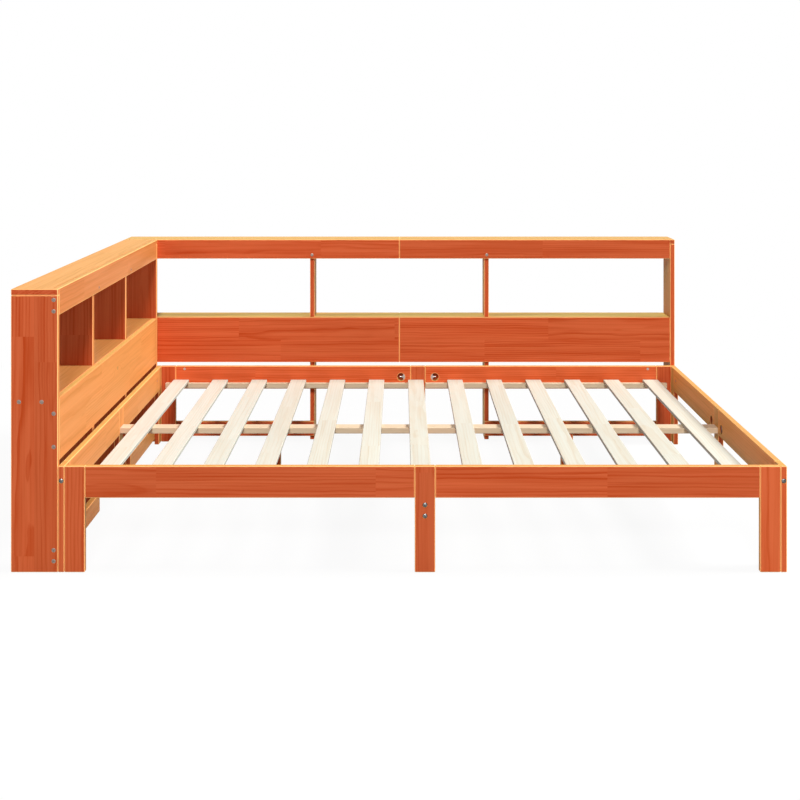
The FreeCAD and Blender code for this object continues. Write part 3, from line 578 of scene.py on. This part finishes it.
# %% Give each board its pine
FIRST_SEED = 3
KNOT_SEED = 7
KNOT_EVERY = 9.0
EVEN = (1.0, 1.0)
PAINTED_LIGHT_LIFTS = {"head_shelf": (0.80, 0.53), "head_top": (1.05, 0.71), "head_apron": (0.89, 0.75),
         "head_backrest": (1.07, 1.07), "head_rail": (1.05, 1.05), "foot_rail": (1.35, 1.0),
         "rear_shelf": (1.6, 1.6), "rear_rail": (1.25, 1.25), "rear_top": (0.88, 0.88),
         "rear_": (1.06, 1.06), "corner_leg_front_right": (1.22, 1.2), "front_rail_right": (1.06, 1.0),
         "slat_13": (1.06, 1.06)}
BEARERS = ("slat_ledgers", "middle_beam_left", "middle_beam_right")
HEAD_SLATS = ("slat_01", "slat_02", "slat_03")
slot_of = {entry["node"]: entry["material_slot"] for entry in frame["record"]["subparts"]}


def palette_of(name):
    """The finish of one board."""
    if slot_of[name] == "stained_pine":
        return STAINED
    if name in BEARERS:
        return BEARER
    return PALE if name in HEAD_SLATS else RAW


def board_pine(name, seed):
    """The pine of one CAD board."""
    board = Board(name + "_pine", *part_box(name), seed)
    palette = palette_of(name)
    chance = random.Random(seed * KNOT_SEED)
    knot_count = int(board.length / KNOT_EVERY + chance.random()) if palette is STAINED else 0
    painted_light_lift, painted_sheen_lift = next((PAINTED_LIGHT_LIFTS[start] for start in PAINTED_LIGHT_LIFTS if name.startswith(start)), EVEN)
    pockets = [rail_pocket(name)] if "_rail_" in name else []
    flush_top = "_shelf" in name or "_backrest" in name
    return pine(board, palette, knot_count, painted_light_lift, painted_sheen_lift, pockets, flush_top)


fastener_steel = {"corner_bolts": bolt_steel, "tie_rods": nut_steel, "case_screws": screw_steel}
for seed, name in enumerate(sorted(nodes), start=FIRST_SEED):
    material = fastener_steel[name] if name in fastener_steel else board_pine(name, seed)
    nodes[name].data.materials.clear()
    nodes[name].data.materials.append(material)
print("materials given:", len(nodes))

# %% [markdown]
# Flat-headed screws hold the bookcases, and domed bolts pull the corners together. In CAD they are plain
# pins, and these pins say where each fastener stands, which way its head faces and how long it is. One
# node holds many solids, so its mesh is first taken apart: points that edges join belong to one solid.

# %% Take a CAD node apart
WELD = 1e-6


def solids_in(name):
    """The corner points of each separate solid in a CAD node."""
    work = bmesh.new()
    work.from_mesh(nodes[name].data)
    bmesh.ops.remove_doubles(work, verts=work.verts, dist=WELD)
    seen = set()
    solids = []
    for start in work.verts:
        if start in seen:
            continue
        seen.add(start)
        waiting = [start]
        corners = []
        while waiting:
            vertex = waiting.pop()
            corners.append(vertex.co.copy())
            for edge in vertex.link_edges:
                other = edge.other_vert(vertex)
                if other not in seen:
                    seen.add(other)
                    waiting.append(other)
        solids.append(corners)
    work.free()
    return solids


def span(corners):
    """A solid's longest axis, its two ends on that axis, and its length."""
    low = Vector([min(corner[axis] for corner in corners) for axis in range(3)])
    high = Vector([max(corner[axis] for corner in corners) for axis in range(3)])
    axis = max(range(3), key=lambda index: high[index] - low[index])
    ends = [(low + high) / 2, (low + high) / 2]
    ends[0][axis] = low[axis]
    ends[1][axis] = high[axis]
    return axis, ends, high[axis] - low[axis]


screw_solids = solids_in("case_screws")
bolt_solids = solids_in("corner_bolts")
print("solids:", len(screw_solids), "of screws,", len(bolt_solids), "of bolts and cross nuts")

# %% [markdown]
# A pin's head is its wider end. Nobody lines up sockets when they tighten bolts, so each head is turned
# by chance, and a fixed seed keeps it the same in every run. The short solids among the bolts are cross
# nuts, and their open ends look into the bed.

# %% Read the pins
PIN_SEED = 11
SIX_SIDES = math.radians(60)
NUT_LENGTH_LIMIT = 0.03
UP = Vector((0, 0, 1))


class Pin:
    """Where one fastener's head stands, which way it faces, how it is turned, and how long it is."""

    def __init__(self, place, facing, along, length):
        self.place = place
        self.facing = facing
        self.along = along
        self.length = length


def headed_pin(corners, chance):
    """A pin read from its CAD solid: the wider end is the head."""
    axis, ends, length = span(corners)
    wide = []
    for end in ends:
        rim = [corner for corner in corners if abs(corner[axis] - end[axis]) < WELD]
        wide.append(max((corner - end).length for corner in rim))
    head = wide.index(max(wide))
    facing = (ends[head] - ends[1 - head]).normalized()
    across = facing.orthogonal().normalized()
    turn = chance.uniform(0, SIX_SIDES)
    along = across * math.cos(turn) + facing.cross(across) * math.sin(turn)
    return Pin(ends[head], facing, along, length)


def nut_pin(corners, inside):
    """A cross nut read from its CAD solid: its open end is the one nearer to the inside of the bed."""
    ends, length = span(corners)[1:]
    ends.sort(key=lambda end: (end - inside).length)
    facing = (ends[0] - ends[1]).normalized()
    return Pin(ends[0], facing, facing.cross(UP), length)


chance = random.Random(PIN_SEED)
screws = [headed_pin(corners, chance) for corners in screw_solids]
bolts = [headed_pin(corners, chance) for corners in bolt_solids if span(corners)[2] > NUT_LENGTH_LIMIT]
beam_low, beam_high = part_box("middle_beam_left")
bed_inside = (Vector(beam_low) + Vector(beam_high)) / 2
nuts = [nut_pin(corners, bed_inside) for corners in bolt_solids if span(corners)[2] <= NUT_LENGTH_LIMIT]
print("screws:", len(screws), "bolts:", len(bolts), "cross nuts:", len(nuts))

# %% [markdown]
# The same small part on many places is work for Geometry Nodes. Copying an object by hand would do too,
# but here the sizes stay open as named inputs. Each place is a point with two directions, facing and
# along, and the tree turns a copy of the part to them. It ends in plain mesh, because an export drops
# instances.

# %% A tree that sets parts on points
class PartTree(Recipe):
    """A Geometry Nodes tree that makes one small part and sets a copy of it on every point."""

    def __init__(self, name, sizes):
        self.tree = bpy.data.node_groups.new(name, "GeometryNodeTree")
        sockets = self.tree.interface
        sockets.new_socket("Points", in_out="INPUT", socket_type="NodeSocketGeometry")
        for label in sizes:
            sockets.new_socket(label, in_out="INPUT", socket_type="NodeSocketFloat")
        sockets.new_socket("Steel", in_out="INPUT", socket_type="NodeSocketMaterial")
        sockets.new_socket("Parts", in_out="OUTPUT", socket_type="NodeSocketGeometry")
        self.entry = self.tree.nodes.new("NodeGroupInput")
        self.exit = self.tree.nodes.new("NodeGroupOutput")

    def given(self, label):
        return Field(self, self.entry.outputs[label])

    def moved(self, mesh, shift, turn=(0.0, 0.0, 0.0)):
        sockets = {"Geometry": mesh, "Translation": shift, "Rotation": turn}
        return self.node("GeometryNodeTransform", {}, sockets)

    def direction(self, label):
        """A direction that every point carries."""
        return self.node("GeometryNodeInputNamedAttribute", {"data_type": "FLOAT_VECTOR"}, {"Name": label})

    def set_on_points(self, part):
        """Ends the tree: turned copies on the points, as plain mesh with a material."""
        turned = self.node("FunctionNodeAlignRotationToVector", {"axis": "Z", "pivot_axis": "AUTO"},
                           {"Vector": self.direction("facing")})
        turned = self.node("FunctionNodeAlignRotationToVector", {"axis": "X", "pivot_axis": "Z"},
                           {"Vector": self.direction("along"), "Rotation": turned})
        copies = self.node("GeometryNodeInstanceOnPoints", {},
                           {"Points": self.given("Points"), "Instance": part, "Rotation": turned})
        plain = self.node("GeometryNodeRealizeInstances", {}, {0: copies})
        plated = self.node("GeometryNodeSetMaterial", {},
                           {"Geometry": plain, "Material": self.given("Steel")})
        self.feed(self.exit.inputs["Parts"], plated)


print("part trees ready")

# %% [markdown]
# A screw or a bolt is round, as if turned on a lathe, apart from its six-sided socket. The tree builds it
# ring by ring: it starts at the socket's floor, draws each next ring out of the last one, over the dome,
# down the head and the shank, and closes at the tip. A Spin in the mesh editor would give the round parts,
# but no six sides.

# %% The turned pin
RING_POINTS = 24
DOME_STEPS = (0.6, 0.8, 0.93, 1.0)
PIN_SIZES = ("Head radius", "Head height", "Dome", "Socket width", "Socket depth", "Shank radius", "Length",
             "Tip")


def pin_tree():
    """The turned pin: socket, dome, head, shank and tip, ring by ring."""
    tree = PartTree("socket_pin", PIN_SIZES)
    head, high, dome, width, depth, shank, length, tip = (tree.given(label) for label in PIN_SIZES)
    x, y = tree.split(tree.node("GeometryNodeInputPosition", {}, {}))[:2]
    reach = (x * x + y * y).root()
    angle = tree.node("ShaderNodeMath", {"operation": "ARCTAN2"}, {0: y, 1: x})
    corner = (angle / SIX_SIDES).fraction() * SIX_SIDES - SIX_SIDES / 2
    flat = width * 0.5 / corner.math("COSINE", corner)
    outline = [(flat, 0.0)]
    for share in DOME_STEPS:
        outline.append((head * share, dome * (math.sqrt(1 - share * share) - 1)))
    outline += [(head, 0.0 - high), (shank, 0.0 - high), (shank, tip - length), (0.0, 0.0 - length)]
    mesh = tree.node("GeometryNodeMeshCircle", {"fill_type": "NGON"},
                     {"Vertices": RING_POINTS, "Radius": head})
    floor = tree.join(x / reach * flat, y / reach * flat, 0.0 - depth)
    mesh = tree.node("GeometryNodeSetPosition", {}, {"Geometry": mesh, "Position": floor})
    ring = None
    for radius, height in outline:
        chosen = {"Mesh": mesh, "Offset Scale": 0.0}
        if ring is not None:
            chosen["Selection"] = ring
        mesh = tree.node("GeometryNodeExtrudeMesh", {"mode": "EDGES"}, chosen)
        ring = mesh.output("Top")
        spot = tree.join(x / reach * radius, y / reach * radius, height)
        mesh = tree.node("GeometryNodeSetPosition", {},
                         {"Geometry": mesh, "Selection": ring, "Position": spot})
    welded = tree.node("GeometryNodeMergeByDistance", {}, {"Geometry": mesh, "Distance": WELD})
    tree.set_on_points(welded)
    return tree


socket_pin = pin_tree()
print("pin tree of", len(socket_pin.tree.nodes), "nodes")

# %% [markdown]
# Each bolt meets a cross nut, a short steel barrel that lies across it in the rail. It is bored for the
# bolt, and a slot in its open end lets a screwdriver turn it until the bore lines up. That is a cylinder
# with two tools taken away, so a Mesh Boolean makes it.

# %% The cross nut
TOOL_REACH = 4.0
NUT_SIZES = ("Radius", "Length", "Bore radius", "Bore depth", "Slot width", "Slot depth")


def nut_tree():
    """The cross nut: a cylinder below its open end, bored for the bolt and slotted for a screwdriver."""
    tree = PartTree("cross_nut", NUT_SIZES)
    radius, length, bore, depth, slot, deep = (tree.given(label) for label in NUT_SIZES)
    barrel = {"Vertices": RING_POINTS, "Radius": radius, "Depth": length}
    body = tree.node("GeometryNodeMeshCylinder", {}, barrel)
    body = tree.moved(body, tree.join(0.0, 0.0, length * -0.5))
    drill = {"Vertices": RING_POINTS, "Radius": bore, "Depth": radius * TOOL_REACH}
    hole = tree.node("GeometryNodeMeshCylinder", {}, drill)
    hole = tree.moved(hole, tree.join(0.0, 0.0, depth * -1.0), (0.0, math.pi / 2, 0.0))
    groove_size = tree.join(radius * TOOL_REACH, slot, deep * 2.0)
    groove = tree.node("GeometryNodeMeshCube", {}, {"Size": groove_size})
    tools = tree.node("GeometryNodeJoinGeometry", {}, {0: hole})
    tree.feed(tools.socket.node.inputs[0], groove)
    cut = tree.node("GeometryNodeMeshBoolean", {"operation": "DIFFERENCE"}, {0: body, 1: tools})
    tree.set_on_points(cut)
    return tree


cross_nut = nut_tree()
print("nut tree of", len(cross_nut.tree.nodes), "nodes")

# %% [markdown]
# A tree's result becomes a plain mesh before anything else touches it. The meshes of one CAD node are
# joined to one piece, which rides on the bed's only body and shows in place of that node.

# %% From trees to pieces
SHARP_ANGLE = math.radians(32)


def set_parts(name, tree, pins, plating, sizes):
    """Puts a tree's part on every pin and returns the result as a plain mesh."""
    points = bpy.data.meshes.new(name + "_points")
    points.from_pydata([pin.place for pin in pins], [], [])
    for label in ("facing", "along"):
        ways = [part for pin in pins for part in getattr(pin, label)]
        points.attributes.new(label, "FLOAT_VECTOR", "POINT").data.foreach_set("vector", ways)
    holder = bpy.data.objects.new(name + "_points", points)
    scene.collection.objects.link(holder)
    maker = holder.modifiers.new("parts", "NODES")
    maker.node_group = tree.tree
    for label, value in {**sizes, "Steel": plating}.items():
        maker[tree.tree.interface.items_tree[label].identifier] = value
    evaluated = holder.evaluated_get(bpy.context.evaluated_depsgraph_get())
    mesh = bpy.data.meshes.new_from_object(evaluated)
    mesh.materials.clear()
    mesh.materials.append(plating)
    holder.modifiers.remove(maker)
    bpy.data.objects.remove(holder)
    return mesh


def stand_in(name, node, meshes):
    """Joins meshes to one piece that shows in place of a CAD node, and keeps their steels."""
    work = bmesh.new()
    steels = list(dict.fromkeys(mesh.materials[0] for mesh in meshes))
    for mesh in meshes:
        drawn = len(work.faces)
        work.from_mesh(mesh)
        work.faces.ensure_lookup_table()
        for face in work.faces[drawn:]:
            face.material_index = steels.index(mesh.materials[0])
    bmesh.ops.recalc_face_normals(work, faces=work.faces)
    joined = bpy.data.meshes.new(name)
    work.to_mesh(joined)
    work.free()
    for plating in steels:
        joined.materials.append(plating)
    joined.shade_smooth()
    joined.set_sharp_from_angle(angle=SHARP_ANGLE)
    piece = bpy.data.objects.new(name, joined)
    scene.collection.objects.link(piece)
    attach(piece, "root")
    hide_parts(node)
    return piece


print("ready to set parts")

# %% [markdown]
# Now the sizes. The case screws have flat heads. The corner bolts have domed heads that end flush with
# the wood. A tree makes one length at a time, so pins of one length are set together.

# %% Screws, bolts and cross nuts
LENGTH_DIGITS = 4
screw_sizes = {"Head radius": 0.006, "Head height": 0.003, "Dome": 0.0004, "Socket width": 0.004,
               "Socket depth": 0.0025, "Shank radius": 0.0025, "Tip": 0.006}
bolt_sizes = {"Head radius": 0.007, "Head height": 0.004, "Dome": 0.0022, "Socket width": 0.006,
              "Socket depth": 0.003, "Shank radius": 0.003, "Tip": 0.002}
nut_sizes = {"Radius": 0.005, "Length": 0.014, "Bore radius": 0.0031, "Bore depth": 0.009,
             "Slot width": 0.0016, "Slot depth": 0.0018}


def set_pins(name, pins, plating, sizes):
    """One mesh for each length of pin."""
    groups = {}
    for pin in pins:
        groups.setdefault(round(pin.length, LENGTH_DIGITS), []).append(pin)
    return [set_parts(name, socket_pin, group, plating, {**sizes, "Length": length})
            for length, group in groups.items()]


screw_meshes = set_pins("case_screws", screws, screw_steel, screw_sizes)
socket_screws = stand_in("socket_screws", "case_screws", screw_meshes)
bolt_meshes = set_pins("corner_bolts", bolts, bolt_steel, bolt_sizes)
bolt_meshes.append(set_parts("cross_nuts", cross_nut, nuts, nut_steel, nut_sizes))
socket_bolts = stand_in("socket_bolts", "corner_bolts", bolt_meshes)
print("faces on screws:", len(socket_screws.data.polygons))
print("faces on bolts:", len(socket_bolts.data.polygons))

# %% [markdown]
# The bed stands on a plain white floor that runs out of sight. A floor that is lit to pure white would
# throw much light back at the bed. So light meets a grey floor, and the camera sees one that is nearly
# white by itself: the page stays white, and it still takes a soft shadow under the legs. Mirrors and
# glass see that white floor too.

# %% Floor
WHITE = (1.0, 1.0, 1.0, OPAQUE)
FLOOR_HALF = 40.0
FLOOR_WHITE = 0.30
FLOOR_ROUGHNESS = 0.9
PAGE_WHITE = 0.80
PAGE_SHARE = 0.93
SHADOW_END = 3.0
SHADOW_START = SHADOW_END / 3


def white_page_mix(recipe, lit, shown):
    """Mixes two shaders so that camera, mirror and glass rays see the second one."""
    seen = recipe.node("ShaderNodeLightPath", {}, {}, out="Is Camera Ray")
    for way in ("Is Glossy Ray", "Is Transmission Ray"):
        seen = seen.larger(recipe.node("ShaderNodeLightPath", {}, {}, out=way))
    return recipe.node("ShaderNodeMixShader", {}, {0: seen, 1: lit, 2: shown})


floor_mesh = bpy.data.meshes.new("floor")
corners = [(-FLOOR_HALF, -FLOOR_HALF, 0), (FLOOR_HALF, -FLOOR_HALF, 0),
           (FLOOR_HALF, FLOOR_HALF, 0), (-FLOOR_HALF, FLOOR_HALF, 0)]
floor_mesh.from_pydata(corners, [], [(0, 1, 2, 3)])
floor = bpy.data.objects.new("floor", floor_mesh)
scene.collection.objects.link(floor)
floor_recipe = Recipe("white_floor")
floor_recipe.surface(Base_Color=(FLOOR_WHITE, FLOOR_WHITE, FLOOR_WHITE, OPAQUE), Roughness=FLOOR_ROUGHNESS)
floor_lit = Field(floor_recipe, floor_recipe.shader.outputs[0])
glow = floor_recipe.node("ShaderNodeEmission", {}, {"Color": WHITE, "Strength": 1.0})
floor_place = floor_recipe.node("ShaderNodeTexCoord", {}, {}, out="Object")
floor_x, floor_y = floor_recipe.split(floor_place)[:2]
away = (floor_x * floor_x + floor_y * floor_y).root().fade(SHADOW_START, SHADOW_END)
page_share = PAGE_SHARE + away * (1.0 - PAGE_SHARE)
paper_colour = (PAGE_WHITE, PAGE_WHITE, PAGE_WHITE, OPAQUE)
paper = floor_recipe.node("ShaderNodeBsdfDiffuse", {}, {"Color": paper_colour})
page = floor_recipe.node("ShaderNodeMixShader", {}, {0: page_share, 1: paper, 2: glow})
floor_out = floor_recipe.tree.nodes["Material Output"].inputs["Surface"]
floor_recipe.feed(floor_out, white_page_mix(floor_recipe, floor_lit, page))
floor_mesh.materials.append(floor_recipe.material)
print("floor of", FLOOR_HALF * 2, "m")

# %% [markdown]
# The surroundings do the same: the camera sees white, and the bed gets only a faint even light from them.
# The world's nodes are written like a material's.

# %% Surroundings
SKY_LIGHT = 0.06


class SkyRecipe(Recipe):
    """The world's own nodes, written like a material."""

    def __init__(self, sky_world):
        self.tree = sky_world.node_tree


world = bpy.data.worlds.new("studio")
scene.world = world
world.use_nodes = True
sky = SkyRecipe(world)
sky_lit = sky.node("ShaderNodeBackground", {}, {"Color": WHITE, "Strength": SKY_LIGHT})
sky_page = sky.node("ShaderNodeBackground", {}, {"Color": WHITE, "Strength": 1.0})
sky_out = sky.tree.nodes["World Output"].inputs["Surface"]
sky.feed(sky_out, white_page_mix(sky, sky_lit, sky_page))
print("studio ready")

# %% [markdown]
# In the picture the faces towards the foot end and the top faces are bright, and the front is calmer. So
# the main softbox hangs on the right, so far away that it lights the head end as well as the foot. A
# smaller one in front and a weak one on the left lift what it leaves dark. A sun lamp with a wide angle
# would light the bed much the same.

# %% Lamps
BED_MIDDLE = Vector((0.0, 0.0, 0.3))


def softbox(name, way, distance, side, power):
    """A square lamp that looks at the bed from a given direction."""
    data = bpy.data.lights.new(name, "AREA")
    data.shape = "SQUARE"
    data.size = side
    data.energy = power
    lamp = bpy.data.objects.new(name, data)
    direction = Vector(way).normalized()
    lamp.location = BED_MIDDLE + direction * distance
    lamp.rotation_euler = direction.to_track_quat("Z", "Y").to_euler()
    scene.collection.objects.link(lamp)


softbox("key", way=(1.1, 0.0, 0.87), distance=40.0, side=11.0, power=24600.0)
softbox("front_fill", way=(0.0, -1.0, 0.58), distance=18.0, side=2.8, power=2080.0)
softbox("left_fill", way=(-1.0, -0.2, 0.35), distance=13.0, side=2.6, power=400.0)

# %% [markdown]
# Last, the view is kept plain.

# %% Finish
scene.view_settings.view_transform = "Standard"
